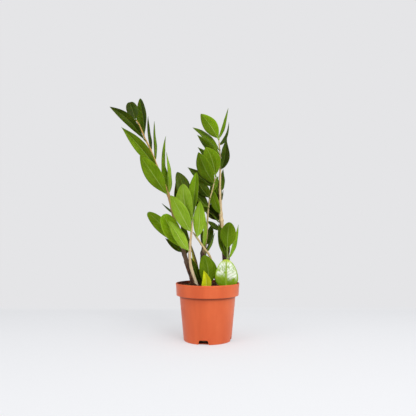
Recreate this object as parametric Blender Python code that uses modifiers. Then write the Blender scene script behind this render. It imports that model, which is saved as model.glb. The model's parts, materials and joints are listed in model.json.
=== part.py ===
"""A potted ZZ plant: a turned plastic nursery pot, its soil, and a plant of leaning stems with leaflets.

Metres, +Z up. The origin is the middle of the pot's flat base, which stands on z = 0. The front is -Y.
Lengths in the tables below are in millimetres.
"""

import math

import bmesh
import bpy
from mathutils import Vector

MM = 0.001
OBJECT_NAME = "potted_zz_plant"

# Pot: a 12 cm nursery pot with a wide rim band and four drain notches round the foot.
POT_HEIGHT = 106.0
RIM_RADIUS = 60.0
RIM_LOWER_RADIUS = 58.5
RIM_HEIGHT = 22.5
RIM_STEP_HEIGHT = 3.5
BODY_TOP_RADIUS = 52.6
BASE_RADIUS = 44.6
BASE_ROUNDING = 1.2
WALL = 1.4
FLOOR = 2.0
NOTCH_COUNT = 4
NOTCH_TOP_WIDTH = 16.0
NOTCH_FOOT_WIDTH = 20.0
NOTCH_HEIGHT = 8.0
NOTCH_DEPTH = 7.0
NOTCH_OVERRUN = 1.0
NOTCH_FIRST_BEARING = -99.5
TURNED_STEPS = 56

# Soil: fills the pot to a little below the rim and keeps a gap to every piece it touches.
GAP = 0.35
SOIL_TOP = 99.5
SOIL_CROWN = 1.0
CROWN_SHARE = 0.6
SOIL_FOOT_CHAMFER = 9.0

# Rhizome: the swollen root below the soil that the stems grow from.
RHIZOME_CENTRE = (2.0, 4.0, 68.0)
RHIZOME_SIZE = (76.0, 44.0, 30.0)
RHIZOME_LUMPS = 3
RHIZOME_LUMP_SHARE = 0.07
RHIZOME_LUMP_TURN = 0.6

# Stems.
STEM_ROOT_HEIGHT = 84.0
STEM_ROOT_LEAN_SHARE = 0.6
STEM_SMOOTHING = 3
HOLE_SIDES = 12
HOLE_FACET_ALLOWANCE = 1.04
HOLE_BELOW_ROOT = 8.0
HOLE_ABOVE_SOIL = 6.0

# Leaflets.
BLADE_THICKNESS = 0.9
BLADE_ACROSS = 4
BLADE_ALONG = 6
PETIOLE_HALF_WIDTH = 1.2
TIP_HALF_WIDTH = 0.35
BLADE_FOLD = 0.22
BLADE_PEAK = 0.8
BLADE_FULLNESS = 0.85
SEAT_LEAN = 1.0
SEAT_CLEARANCE = 1.3
SHOULDER = 3.0
SHOULDER_PEAK = 4.0 / 27.0

# Each stem's centre line from the soil to its tip: x, y, z and radius.
STEMS = {
    "stem_left_tall": [
        (-25, 12, 100, 5.0),
        (-44, 14, 156, 4.2),
        (-62, 18, 216, 3.4),
        (-77, 21, 275, 2.7),
        (-94, 21, 316, 2.2),
        (-112, 18, 363, 1.7),
        (-123, 15, 385, 1.5),
        (-134, 11, 412, 1.1),
        (-141, 8, 421, 0.9),
    ],
    "stem_front": [
        (-20, -8, 100, 3.8),
        (-32, -12, 140, 3.0),
        (-33, -16, 172, 2.6),
        (-30, -20, 201, 2.1),
        (-28, -22, 226, 1.2),
    ],
    "stem_crossing": [
        (18, -1, 100, 2.5),
        (6, -5, 152, 2.2),
        (-5, -8, 169, 2.1),
        (-21, -11, 192, 1.8),
        (-28, -12, 202, 1.1),
    ],
    "stem_back": [
        (-16, 26, 100, 3.2),
        (-23, 24, 144, 2.8),
        (-40, 22, 194, 2.2),
        (-47, 20, 221, 1.7),
        (-46, 16, 256, 1.1),
    ],
    "stem_middle": [
        (-8, 7, 100, 5.0),
        (-9, 8, 144, 5.4),
        (-7, 8, 170, 4.4),
        (-2, 8, 196, 2.2),
        (2, 8, 254, 1.5),
        (8, 8, 279, 1.3),
        (16, 6, 310, 1.0),
    ],
    "stem_right_tall": [
        (36, 16, 100, 4.6),
        (32, 18, 167, 4.7),
        (27, 20, 222, 4.1),
        (24, 22, 275, 2.8),
        (25, 22, 322, 2.0),
        (25, 20, 350, 1.5),
        (22, 16, 385, 1.0),
    ],
    "stem_right_short": [
        (40, -2, 100, 3.6),
        (39, -4, 149, 2.8),
        (37, -5, 168, 1.4),
    ],
}

# Each leaflet: name, height on its stem, reach from stem to tip (x, y, z), width, turn of its upper
# face about its own length (0 looks to the front), sweep of its middle to one side, bow of its middle
# towards its upper face, and its colour.
LEAFLETS = {
    "stem_left_tall": [
        ("leaflet_a_top", 421, (-16, 24, 43), 24, 10, 0, -2, "leaf_dark"),
        ("leaflet_a_back_top", 392, (-14, 38, 86), 31, -40, 1, -2, "leaf_dark"),
        ("leaflet_a_left_1", 383, (-67, -22, 60), 19, 0, 8, 0, "leaf_dark"),
        ("leaflet_a_left_2", 334, (-65, -28, 69), 24, 15, 2, 0, "leaf_green"),
        ("leaflet_a_left_3", 275, (-53, -24, 73), 32, 5, 1, -2, "leaf_green"),
        ("leaflet_a_right_1", 364, (-10, 34, 77), 22, 84, 0, -4, "leaf_dark"),
        ("leaflet_a_right_2", 344, (-5, 34, 87), 22, 86, 0, -2, "leaf_green"),
        ("leaflet_a_right_3", 309, (5, 34, 91), 26, 78, 0, -5, "leaf_green"),
        ("leaflet_a_right_4", 278, (-6, 30, 88), 24, 74, 0, -1, "leaf_bright"),
        ("leaflet_a_low_1", 181, (-68, 21, 60), 27, -20, 2, -2, "leaf_green"),
        ("leaflet_a_low_2", 172, (-34, -34, 62), 33, 15, 0, -2, "leaf_green"),
    ],
    "stem_front": [
        ("leaflet_b_left_1", 168, (-39, -14, 53), 24, 30, 2, -2, "leaf_bright"),
        ("leaflet_b_back", 180, (-18, 8, 46), 13, -30, 0, 0, "leaf_dark"),
        ("leaflet_b_left_2", 203, (-38, -19, 65), 28, 5, 2, -3, "leaf_bright"),
        ("leaflet_b_top_1", 222, (-18, -1, 69), 32, -5, -3, 0, "leaf_bright"),
        ("leaflet_b_top_2", 226, (7, 18, 90), 25, -40, 1, 2, "leaf_green"),
    ],
    "stem_crossing": [
        ("leaflet_c_top", 192, (7, -10, 67), 23, 0, 0, -2, "leaf_bright"),
    ],
    "stem_back": [
        ("leaflet_d_top_1", 256, (-14, 10, 65), 28, 10, 5, 2, "leaf_dark"),
        ("leaflet_d_top_2", 236, (-18, 26, 66), 22, 20, 0, 0, "leaf_dark"),
        ("leaflet_d_left", 228, (-46, 34, 33), 18, 78, 0, -3, "leaf_dark"),
    ],
    "stem_middle": [
        ("leaflet_e_top_1", 310, (-19, -20, 53), 34, -10, 3, -2, "leaf_green"),
        ("leaflet_e_top_2", 297, (-30, -30, 54), 29, -15, -2, -2, "leaf_green"),
        ("leaflet_e_left_1", 290, (-51, 28, 42), 20, 20, 0, 0, "leaf_dark"),
        ("leaflet_e_left_2", 268, (-31, -2, 42), 26, 30, 0, -2, "leaf_dark"),
        ("leaflet_e_left_3", 250, (-29, -14, 32), 24, 40, 0, -2, "leaf_dark"),
        ("leaflet_e_low_1", 172, (3, -24, 57), 14, 60, 0, 0, "leaf_bright"),
        ("leaflet_e_low_2", 178, (16, 30, 42), 20, 40, 0, 0, "leaf_dark"),
        ("leaflet_e_low_3", 163, (20, 8, 40), 10, 80, 0, -1, "leaf_dark"),
        ("leaflet_e_low_4", 161, (22, -8, 39), 12, 72, 0, 0, "leaf_green"),
        ("leaflet_e_low_5", 166, (-7, 32, 58), 14, 60, 0, 0, "leaf_dark"),
    ],
    "stem_right_tall": [
        ("leaflet_f_top_1", 385, (-35, -26, 43), 28, -10, 2, -2, "leaf_green"),
        ("leaflet_f_top_2", 386, (20, 16, 67), 18, 70, 0, 0, "leaf_green"),
        ("leaflet_f_left_1", 365, (-53, -14, 40), 26, 50, 3, 0, "leaf_green"),
        ("leaflet_f_left_2", 348, (-46, 2, 47), 28, 40, 0, 0, "leaf_green"),
        ("leaflet_f_left_3", 328, (-45, 10, 44), 26, 45, 0, 0, "leaf_green"),
        ("leaflet_f_left_4", 239, (-21, -7, 54), 17, -20, 0, 0, "leaf_green"),
        ("leaflet_f_left_5", 226, (-34, 16, 36), 26, 20, 0, 0, "leaf_dark"),
        ("leaflet_f_left_6", 206, (-30, 1, 18), 16, 50, 0, 0, "leaf_dark"),
        ("leaflet_f_right_1", 374, (21, 30, 53), 18, 74, 0, 3, "leaf_dark"),
        ("leaflet_f_right_2", 350, (15, 40, 54), 20, 66, 0, 0, "leaf_dark"),
        ("leaflet_f_right_3", 326, (13, -6, 55), 21, 40, 0, 0, "leaf_dark"),
        ("leaflet_f_right_4", 284, (8, 34, 48), 20, 60, 0, 0, "leaf_dark"),
    ],
    "stem_right_short": [
        ("leaflet_g_front", 168, (4, -8, 52), 31, 0, -1, -2, "leaf_green"),
        ("leaflet_g_right", 152, (21, 14, 64), 16, 58, 0, 0, "leaf_green"),
        ("leaflet_g_back", 153, (-18, 12, 65), 24, 30, 0, 0, "leaf_dark"),
    ],
}

# Leaflets that stand in the soil by themselves: name, base, then the same values as above.
SOIL_LEAFLETS = [
    ("leaflet_low_glossy", (34, -25, 100.4), (1, 11, 50), 43, 10, -1, 2, "leaf_pale"),
    ("leaflet_low_round", (-2, -14, 100.4), (-4, 6, 58), 33, 5, 5, 0, "leaf_green"),
    ("leaflet_low_young", (-2, -30, 100.4), (-5, -3, 31), 18, 0, 2, 0, "leaf_young"),
    ("leaflet_low_folded", (-11, -2, 100.8), (-22, 2, 55), 14, 40, 0, 0, "leaf_dark"),
    ("leaflet_low_shoot", (-21, 4, 100.8), (-9, 3, 62), 8, 60, 0, 0, "leaf_young"),
]

# Colours: linear red, green and blue, then roughness.
FINISHES = {
    "pot_plastic": ((0.70, 0.13, 0.05), 0.45),
    "soil": ((0.045, 0.025, 0.016), 0.95),
    "rhizome": ((0.35, 0.22, 0.12), 0.80),
    "stem": ((0.50, 0.38, 0.17), 0.50),
    "leaf_bright": ((0.21, 0.37, 0.04), 0.35),
    "leaf_green": ((0.10, 0.22, 0.015), 0.35),
    "leaf_dark": ((0.03, 0.09, 0.01), 0.32),
    "leaf_young": ((0.42, 0.50, 0.02), 0.40),
    "leaf_pale": ((0.35, 0.50, 0.20), 0.25),
}


def clear_scene():
    for obj in list(bpy.data.objects):
        bpy.data.objects.remove(obj, do_unlink=True)


def make_collection(name):
    collection = bpy.data.collections.new(name)
    bpy.context.scene.collection.children.link(collection)
    return collection


def make_material(name):
    colour, roughness = FINISHES[name]
    material = bpy.data.materials.new(name)
    material.use_nodes = True
    shader = material.node_tree.nodes["Principled BSDF"]
    shader.inputs["Base Color"].default_value = (*colour, 1.0)
    shader.inputs["Roughness"].default_value = roughness
    return material


def mesh_object(name, bm, collection, material=None):
    mesh = bpy.data.meshes.new(name)
    bm.to_mesh(mesh)
    bm.free()
    mesh.shade_smooth()
    obj = bpy.data.objects.new(name, mesh)
    collection.objects.link(obj)
    if material:
        mesh.materials.append(material)
    return obj


def turned(name, profile, collection, material):
    """A closed (radius, height) outline turned about Z. It starts and ends on the axis."""
    mesh = bpy.data.meshes.new(name)
    points = [(radius * MM, 0.0, height * MM) for radius, height in profile]
    edges = [(i, i + 1) for i in range(len(points) - 1)]
    mesh.from_pydata(points, edges, [])
    mesh.materials.append(material)
    obj = bpy.data.objects.new(name, mesh)
    collection.objects.link(obj)
    screw = obj.modifiers.new("turn", "SCREW")
    screw.axis = "Z"
    screw.steps = TURNED_STEPS
    screw.render_steps = TURNED_STEPS
    screw.use_merge_vertices = True
    screw.merge_threshold = 0.0001
    screw.use_smooth_shade = True
    return obj


def cut(obj, cutter):
    cutter.hide_render = True
    cutter.display_type = "WIRE"
    boolean = obj.modifiers.new(cutter.name, "BOOLEAN")
    boolean.operation = "DIFFERENCE"
    boolean.solver = "EXACT"
    boolean.object = cutter


def wall_radius(height):
    """Outer radius of the pot's body at a height below the rim."""
    share = height / (POT_HEIGHT - RIM_HEIGHT)
    return BASE_RADIUS + share * (BODY_TOP_RADIUS - BASE_RADIUS)


def build_pot(collection, cutters, material):
    rim_foot = POT_HEIGHT - RIM_HEIGHT
    step_top = rim_foot + RIM_STEP_HEIGHT
    outside = [
        (RIM_RADIUS - WALL / 2, POT_HEIGHT),
        (RIM_RADIUS, POT_HEIGHT - WALL / 2),
        (RIM_LOWER_RADIUS, rim_foot),
        (RIM_LOWER_RADIUS - WALL, rim_foot),
        (BODY_TOP_RADIUS, rim_foot - RIM_STEP_HEIGHT / 2),
        (wall_radius(BASE_ROUNDING), BASE_ROUNDING),
        (BASE_RADIUS - BASE_ROUNDING, 0.0),
        (0.0, 0.0),
    ]
    inside = [
        (0.0, FLOOR),
        (wall_radius(FLOOR) - WALL, FLOOR),
        (BODY_TOP_RADIUS - WALL, rim_foot),
        (RIM_LOWER_RADIUS - WALL, step_top),
        (RIM_RADIUS - WALL, POT_HEIGHT),
    ]
    pot = turned("pot", inside + outside, collection, material)
    for index in range(NOTCH_COUNT):
        bearing = math.radians(NOTCH_FIRST_BEARING + 360.0 / NOTCH_COUNT * index)
        cut(pot, notch_cutter(f"notch_{index + 1}", bearing, cutters))
    return pot


def notch_cutter(name, bearing, cutters):
    """A trapezoid prism that passes through the wall at the foot of the pot."""
    bm = bmesh.new()
    bmesh.ops.create_cube(bm, size=1.0)
    for vert in bm.verts:
        half_width = NOTCH_TOP_WIDTH / 2 if vert.co.z > 0 else NOTCH_FOOT_WIDTH / 2
        across = math.copysign(half_width, vert.co.y)
        radius = BASE_RADIUS - NOTCH_DEPTH if vert.co.x < 0 else BASE_RADIUS + NOTCH_DEPTH
        height = NOTCH_HEIGHT if vert.co.z > 0 else -NOTCH_OVERRUN
        vert.co = Vector((radius, across, height)) * MM
    cutter = mesh_object(name, bm, cutters)
    cutter.rotation_euler.z = bearing
    return cutter


def build_soil(collection, cutters, material):
    rim_foot = POT_HEIGHT - RIM_HEIGHT
    step_top = rim_foot + RIM_STEP_HEIGHT
    clear = WALL + GAP
    foot = FLOOR + GAP
    top_share = (SOIL_TOP - step_top) / (POT_HEIGHT - step_top)
    top_radius = RIM_LOWER_RADIUS + top_share * (RIM_RADIUS - RIM_LOWER_RADIUS) - clear
    outline = [
        (0.0, SOIL_TOP + SOIL_CROWN),
        (top_radius * CROWN_SHARE, SOIL_TOP + SOIL_CROWN * CROWN_SHARE),
        (top_radius, SOIL_TOP),
        (RIM_LOWER_RADIUS - clear, step_top + GAP),
        (BODY_TOP_RADIUS - clear, rim_foot),
        (wall_radius(foot + SOIL_FOOT_CHAMFER) - clear, foot + SOIL_FOOT_CHAMFER),
        (wall_radius(foot) - clear - SOIL_FOOT_CHAMFER, foot),
        (0.0, foot),
    ]
    soil = turned("soil", outline, collection, material)
    cut(soil, rhizome_body("rhizome_space", GAP, cutters))
    for name, line in STEMS.items():
        cut(soil, stem_cutter(name + "_hole", line, cutters))
    return soil


def rhizome_body(name, grow, collection, material=None):
    """A lumpy potato-like body, larger by grow all round."""
    bm = bmesh.new()
    bmesh.ops.create_uvsphere(bm, u_segments=20, v_segments=12, radius=1.0)
    for vert in bm.verts:
        bearing = math.atan2(vert.co.y, vert.co.x)
        swelling = math.sin(RHIZOME_LUMPS * bearing + RHIZOME_LUMP_TURN) * (1.0 - vert.co.z**2)
        lump = 1.0 + RHIZOME_LUMP_SHARE * swelling
        size = Vector([side / 2 * lump + grow for side in RHIZOME_SIZE])
        vert.co = (Vector(RHIZOME_CENTRE) + vert.co * size) * MM
    return mesh_object(name, bm, collection, material)


def root_point(line):
    """The lowest point of a stem's centre line, straight below its first stretch."""
    x, y, z, _ = line[0]
    return Vector((x, y, z)) + (STEM_ROOT_HEIGHT - z) * stem_lean(line)


def stem_lean(line):
    """How far a stem moves for each millimetre it rises below the soil's surface."""
    rise = Vector(line[1][:3]) - Vector(line[0][:3])
    lean = rise / rise.z * STEM_ROOT_LEAN_SHARE
    lean.z = 1.0
    return lean


def stem_cutter(name, line, cutters):
    """A straight round hole down to the rhizome's space, wider than the stem by the gap."""
    lean = stem_lean(line)
    foot = root_point(line) - lean * HOLE_BELOW_ROOT
    head = Vector(line[0][:3]) + lean * HOLE_ABOVE_SOIL
    radius = (line[0][3] + GAP) * HOLE_FACET_ALLOWANCE * MM
    bm = bmesh.new()
    bmesh.ops.create_cone(
        bm,
        cap_ends=True,
        segments=HOLE_SIDES,
        radius1=radius,
        radius2=radius,
        depth=(head - foot).length * MM,
    )
    turn = (head - foot).to_track_quat("Z", "Y").to_matrix()
    bmesh.ops.rotate(bm, verts=bm.verts, matrix=turn)
    bmesh.ops.translate(bm, verts=bm.verts, vec=(head + foot) / 2 * MM)
    return mesh_object(name, bm, cutters)


def stem_path(line):
    """The root, then a smooth curve through the stem's points. Each point carries its radius."""
    points = [Vector(point) for point in line]
    padded = [points[0] * 2 - points[1], *points, points[-1] * 2 - points[-2]]
    path = [Vector((*root_point(line), line[0][3]))]
    for a, b, c, d in zip(padded, padded[1:], padded[2:], padded[3:]):
        for step in range(STEM_SMOOTHING):
            t = step / STEM_SMOOTHING
            straight = b * 2 + (c - a) * t
            bend = (a * 2 - b * 5 + c * 4 - d) * t**2 + (b * 3 - a - c * 3 + d) * t**3
            path.append((straight + bend) / 2)
    path.append(points[-1])
    return path


def build_stem(name, line, collection, material):
    """A tapering round tube along the stem's centre line, closed at both ends."""
    path = stem_path(line)
    curve = bpy.data.curves.new(name, "CURVE")
    curve.dimensions = "3D"
    curve.bevel_depth = MM
    curve.bevel_resolution = 2
    curve.use_fill_caps = True
    spline = curve.splines.new("POLY")
    spline.points.add(len(path) - 1)
    for point, (x, y, z, radius) in zip(spline.points, path):
        point.co = (x * MM, y * MM, z * MM, 1.0)
        point.radius = radius
    curve.materials.append(material)
    obj = bpy.data.objects.new(name, curve)
    collection.objects.link(obj)
    return obj


def stem_at(line, height):
    """The centre, radius and direction of a stem at a height."""
    path = stem_path(line)
    for low, high in zip(path, path[1:]):
        if low.z <= height <= high.z:
            break
    share = min(1.0, max(0.0, (height - low.z) / (high.z - low.z)))
    here = low.lerp(high, share)
    return here.xyz, here.w, (high.xyz - low.xyz).normalized()


def blade_half_width(share, width):
    """Half the width of a leaflet at a share of its length: broadest below the middle, then a point."""
    swell = math.sin(math.pi * share**BLADE_PEAK) ** BLADE_FULLNESS if 0.0 < share < 1.0 else 0.0
    stalk = PETIOLE_HALF_WIDTH + share * (TIP_HALF_WIDTH - PETIOLE_HALF_WIDTH)
    return max(width / 2 * swell, stalk)


def build_leaflet(name, base, reach, shoulder, shape, collection, material):
    """A folded and bent blade of even thickness from base to base + reach.

    Its lower third stands off by the shoulder, so that the blade clears the stem it grows from.
    """
    width, turn, sweep, bow = shape
    length = reach.length
    along = reach.normalized()
    front = Vector((0.0, -1.0, 0.0))
    facing = (front - along * front.dot(along)).normalized()
    side = along.cross(facing)
    angle = math.radians(turn)
    face = facing * math.cos(angle) + side * math.sin(angle)
    side = along.cross(face)
    bm = bmesh.new()
    bmesh.ops.create_grid(bm, x_segments=BLADE_ACROSS, y_segments=BLADE_ALONG, size=1.0)
    for vert in bm.verts:
        across = vert.co.x
        share = (1.0 - math.cos((vert.co.y + 1.0) / 2 * math.pi)) / 2
        half = blade_half_width(share, width)
        arch = math.sin(math.pi * share)
        lift = BLADE_FOLD * half * abs(across) + bow * arch
        shift = half * across + sweep * arch
        stand_off = shoulder * share * (1.0 - share) ** 2 / SHOULDER_PEAK
        spine = base + along * share * length + stand_off
        vert.co = (spine + side * shift + face * lift) * MM
    obj = mesh_object(name, bm, collection, material)
    shell = obj.modifiers.new("thickness", "SOLIDIFY")
    shell.thickness = BLADE_THICKNESS * MM
    shell.offset = 0.0
    return obj


def build_stem_leaflets(collection, materials):
    for stem, rows in LEAFLETS.items():
        for name, height, reach, *shape, tone in rows:
            centre, radius, direction = stem_at(STEMS[stem], height)
            reach = Vector(reach)
            if height < STEMS[stem][-1][2]:
                outward = (reach - direction * reach.dot(direction)).normalized()
                outward += Vector((0.0, math.copysign(SEAT_LEAN, reach.y), 0.0))
                outward -= direction * outward.dot(direction)
            else:
                outward = reach.copy()
            outward.normalize()
            base = centre + outward * (radius + SEAT_CLEARANCE)
            reach = centre + reach - base
            shoulder = outward * SHOULDER
            build_leaflet(name, base, reach, shoulder, shape, collection, materials[tone])


def build_soil_leaflets(collection, materials):
    no_shoulder = Vector((0.0, 0.0, 0.0))
    for name, base, reach, *shape, tone in SOIL_LEAFLETS:
        base = Vector(base)
        reach = Vector(reach)
        build_leaflet(name, base, reach, no_shoulder, shape, collection, materials[tone])


def build():
    clear_scene()
    parts = make_collection(OBJECT_NAME)
    cutters = make_collection(OBJECT_NAME + "_cutters")
    materials = {name: make_material(name) for name in FINISHES}
    build_pot(parts, cutters, materials["pot_plastic"])
    build_soil(parts, cutters, materials["soil"])
    rhizome_body("rhizome", 0.0, parts, materials["rhizome"])
    for name, line in STEMS.items():
        build_stem(name, line, parts, materials["stem"])
    build_stem_leaflets(parts, materials)
    build_soil_leaflets(parts, materials)


build()
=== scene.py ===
"""Looks of a potted ZZ plant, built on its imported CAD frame. Metres, +Z up, the front is -Y."""

import json
import math
import random

import bmesh
import bpy
import numpy as np
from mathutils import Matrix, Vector, noise


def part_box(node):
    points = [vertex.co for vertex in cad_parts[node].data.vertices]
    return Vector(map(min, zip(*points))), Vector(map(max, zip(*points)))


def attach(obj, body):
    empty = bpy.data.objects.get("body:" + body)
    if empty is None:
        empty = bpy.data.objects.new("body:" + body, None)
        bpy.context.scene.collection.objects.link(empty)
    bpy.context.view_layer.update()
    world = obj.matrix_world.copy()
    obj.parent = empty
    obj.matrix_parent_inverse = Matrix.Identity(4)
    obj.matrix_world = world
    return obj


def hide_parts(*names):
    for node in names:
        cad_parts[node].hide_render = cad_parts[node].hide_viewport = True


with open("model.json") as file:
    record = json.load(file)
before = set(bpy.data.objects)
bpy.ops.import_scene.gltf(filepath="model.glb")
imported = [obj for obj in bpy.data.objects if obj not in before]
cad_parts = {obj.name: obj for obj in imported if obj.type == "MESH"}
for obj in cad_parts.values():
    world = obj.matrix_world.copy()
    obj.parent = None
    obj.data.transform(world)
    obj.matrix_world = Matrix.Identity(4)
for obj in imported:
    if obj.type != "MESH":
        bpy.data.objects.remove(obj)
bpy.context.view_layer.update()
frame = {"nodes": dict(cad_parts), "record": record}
slot_of = {part["node"]: part["material_slot"] for part in frame["record"]["subparts"]}

MM = 0.001
UP = np.array((0.0, 0.0, 1.0))
FRONT = np.array((0.0, -1.0, 0.0))


# -------- reading the frame


def node_mesh(name):
    """(points, triangles) of a CAD node."""
    mesh = frame["nodes"][name].data
    mesh.calc_loop_triangles()
    points = np.array([vert.co for vert in mesh.vertices])
    faces = np.array([triangle.vertices for triangle in mesh.loop_triangles])
    return points, faces


def dress_node(name, material):
    """Gives a node that stays in the model a material of its own."""
    materials = frame["nodes"][name].data.materials
    materials.clear()
    materials.append(material)


def slice_mesh(points, faces, origin, normal):
    """The points where a plane crosses the mesh's edges."""
    offset = (points - origin) @ normal
    edges = np.concatenate([faces[:, [0, 1]], faces[:, [1, 2]], faces[:, [2, 0]]])
    a, b = edges[:, 0], edges[:, 1]
    crossed = (offset[a] < 0) != (offset[b] < 0)
    a, b = a[crossed], b[crossed]
    share = offset[a] / (offset[a] - offset[b])
    return points[a] + (points[b] - points[a]) * share[:, None]


def level_cut(points, faces, height):
    return slice_mesh(points, faces, UP * height, UP)


def unit(vector):
    return vector / np.linalg.norm(vector)


def hash_of(name):
    """A steady number for a name, to give each piece its own variation."""
    return sum((i + 1) * ord(letter) for i, letter in enumerate(name)) % 997 / 10.0


def eased(path, rounds):
    """A path with its inner points drawn towards their neighbours, a few times over."""
    for _ in range(rounds):
        path[1:-1] = (path[:-2] + 2 * path[1:-1] + path[2:]) / 4
    return path


# -------- making meshes


def placed(name, data):
    """An object of the scene that holds the data."""
    thing = bpy.data.objects.new(name, data)
    bpy.context.scene.collection.objects.link(thing)
    return thing


def make_piece(name, points, faces, material, slot, replaced=(), uv=None, **attributes):
    """A mesh piece that rides on the root body. Values in attributes are one number for each point."""
    mesh = bpy.data.meshes.new(name)
    mesh.from_pydata([tuple(p) for p in points], [], faces)
    mesh.update()
    mesh.shade_smooth()
    if uv is not None:
        layer = mesh.uv_layers.new(name="surface")
        corners = np.zeros(len(mesh.loops), dtype=np.int32)
        mesh.loops.foreach_get("vertex_index", corners)
        layer.data.foreach_set("uv", np.asarray(uv, dtype=np.float32)[corners].ravel())
    for key, values in attributes.items():
        attribute = mesh.attributes.new(key, "FLOAT", "POINT")
        attribute.data.foreach_set("value", np.asarray(values, dtype=np.float32))
    mesh.materials.append(material)
    piece = placed(name, mesh)
    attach(piece, "root")
    if replaced:
        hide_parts(*replaced)
    return piece


def working_solid(name, points, faces):
    """A closed solid for a boolean, to be removed afterwards. Its faces are turned outwards."""
    mesh = bpy.data.meshes.new(name)
    mesh.from_pydata([tuple(p) for p in points], [], faces)
    bm = bmesh.new()
    bm.from_mesh(mesh)
    bmesh.ops.recalc_face_normals(bm, faces=bm.faces)
    bm.to_mesh(mesh)
    bm.free()
    return placed(name, mesh)


def ring_faces(start, rings, sides):
    """Quads between rings of points that follow one another."""
    faces = []
    for i in range(rings - 1):
        for j in range(sides):
            k = (j + 1) % sides
            a = start + i * sides
            faces.append((a + j, a + k, a + sides + k, a + sides + j))
    return faces


def tube(path, radii, sides, start=0, ridges=0.0):
    """Points, faces and (around, along) places of a closed tube. The seam is at the back."""
    path = np.asarray(path, dtype=float)
    count = len(path)
    points, places = [], []
    for i in range(count):
        ahead = unit(path[min(i + 1, count - 1)] - path[max(i - 1, 0)])
        front = FRONT if abs(ahead[1]) < 0.9 else np.array((1.0, 0.0, 0.0))
        front = unit(front - ahead * (front @ ahead))
        right = np.cross(ahead, front)
        for j in range(sides):
            turn = 2 * math.pi * (j / sides - 0.5)
            radius = radii[i] * (1.0 + ridges * math.cos(5 * turn + i * 0.01))
            points.append(path[i] + (front * math.cos(turn) + right * math.sin(turn)) * radius)
            places.append((j / sides, i / (count - 1)))
    faces = ring_faces(start, count, sides)
    faces.append(tuple(start + j for j in reversed(range(sides))))
    faces.append(tuple(start + (count - 1) * sides + j for j in range(sides)))
    return points, faces, places


# -------- materials


def srgb(*channels):
    """A colour given as 0-255 screen values, as linear values with alpha."""
    shares = [channel / 255 for channel in channels]
    linear = [s / 12.92 if s <= 0.04045 else ((s + 0.055) / 1.055) ** 2.4 for s in shares]
    return (*linear, 1.0)


class Shader:
    """A Principled material and short ways to add nodes to it."""

    def __init__(self, name, **settings):
        self.material = bpy.data.materials.new(name)
        self.material.use_nodes = True
        self.tree = self.material.node_tree
        self.surface = next(n for n in self.tree.nodes if n.type == "BSDF_PRINCIPLED")
        for socket, value in settings.items():
            self.surface.inputs[socket.replace("_", " ")].default_value = value

    def node(self, kind, inputs=None, **settings):
        node = self.tree.nodes.new(kind)
        for key, value in settings.items():
            setattr(node, key, value)
        for key, value in (inputs or {}).items():
            self.put(node.inputs[key], value)
        return node

    def put(self, socket, value):
        """Links a socket, or sets its value. A colour is given as three 0-255 screen values."""
        if isinstance(value, bpy.types.NodeSocket):
            self.tree.links.new(value, socket)
        elif socket.type == "RGBA":
            socket.default_value = srgb(*value)
        else:
            socket.default_value = value

    def set(self, **values):
        for socket, value in values.items():
            self.put(self.surface.inputs[socket.replace("_", " ")], value)

    def math(self, operation, a, b=0.0):
        return self.node("ShaderNodeMath", {0: a, 1: b}, operation=operation).outputs[0]

    def times(self, a, b):
        return self.math("MULTIPLY", a, b)

    def plus(self, a, b):
        return self.math("ADD", a, b)

    def mix(self, share, a, b):
        node = self.node("ShaderNodeMix", data_type="RGBA")
        self.put(node.inputs[0], share)
        self.put(node.inputs[6], a)
        self.put(node.inputs[7], b)
        return node.outputs[2]

    def spread(self, value, low, high, to_low=0.0, to_high=1.0):
        inputs = {0: value, 1: low, 2: high, 3: to_low, 4: to_high}
        return self.node("ShaderNodeMapRange", inputs, interpolation_type="SMOOTHSTEP").outputs[0]

    def noise(self, scale, detail=3.0, stretch=(1.0, 1.0, 1.0), at=None, roughness=0.55):
        where = at or self.node("ShaderNodeTexCoord").outputs["Object"]
        place = self.node("ShaderNodeMapping", {"Vector": where, "Scale": stretch})
        inputs = {"Vector": place.outputs[0], "Scale": scale, "Detail": detail, "Roughness": roughness}
        return self.node("ShaderNodeTexNoise", inputs).outputs[0]

    def ramp(self, value, *stops):
        node = self.node("ShaderNodeValToRGB", {0: value})
        elements = node.color_ramp.elements
        while len(elements) < len(stops):
            elements.new(0.5)
        for element, (position, colour) in zip(elements, stops):
            element.position = position
            element.color = srgb(*colour)
        return node.outputs[0]

    def places(self):
        """(around or across, along) from the piece's own surface coordinates, each 0 to 1."""
        where = self.node("ShaderNodeUVMap", uv_map="surface").outputs[0]
        parts = self.node("ShaderNodeSeparateXYZ", {0: where})
        return parts.outputs[0], parts.outputs[1]

    def finished(self, colour, roughness, relief, depth, strength):
        """Sets the surface, with a relief as deep as depth in metres, and gives the material."""
        inputs = {"Height": relief, "Distance": depth, "Strength": strength}
        bump = self.node("ShaderNodeBump", inputs).outputs[0]
        self.set(Base_Color=colour, Roughness=roughness, Normal=bump)
        return self.material

    def value_of(self, name):
        return self.node("ShaderNodeAttribute", attribute_name=name).outputs["Fac"]


# Each leaf colour's deep, middle and light tones, then those of its veins and its underside.
LEAF_TONES = {
    "leaf_bright": [(122, 160, 30), (140, 177, 44), (156, 192, 66), (184, 206, 112), (146, 172, 70)],
    "leaf_green": [(84, 116, 8), (102, 136, 14), (120, 152, 28), (156, 180, 84), (118, 142, 52)],
    "leaf_dark": [(42, 62, 4), (58, 80, 6), (80, 104, 16), (118, 138, 60), (88, 108, 40)],
    "leaf_young": [(168, 178, 8), (186, 192, 18), (202, 206, 44), (214, 216, 90), (186, 194, 60)],
    "leaf_pale": [(120, 156, 8), (138, 172, 22), (158, 190, 52), (160, 190, 56), (150, 176, 84)],
}
VEIN_PAIRS = 9.0


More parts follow.
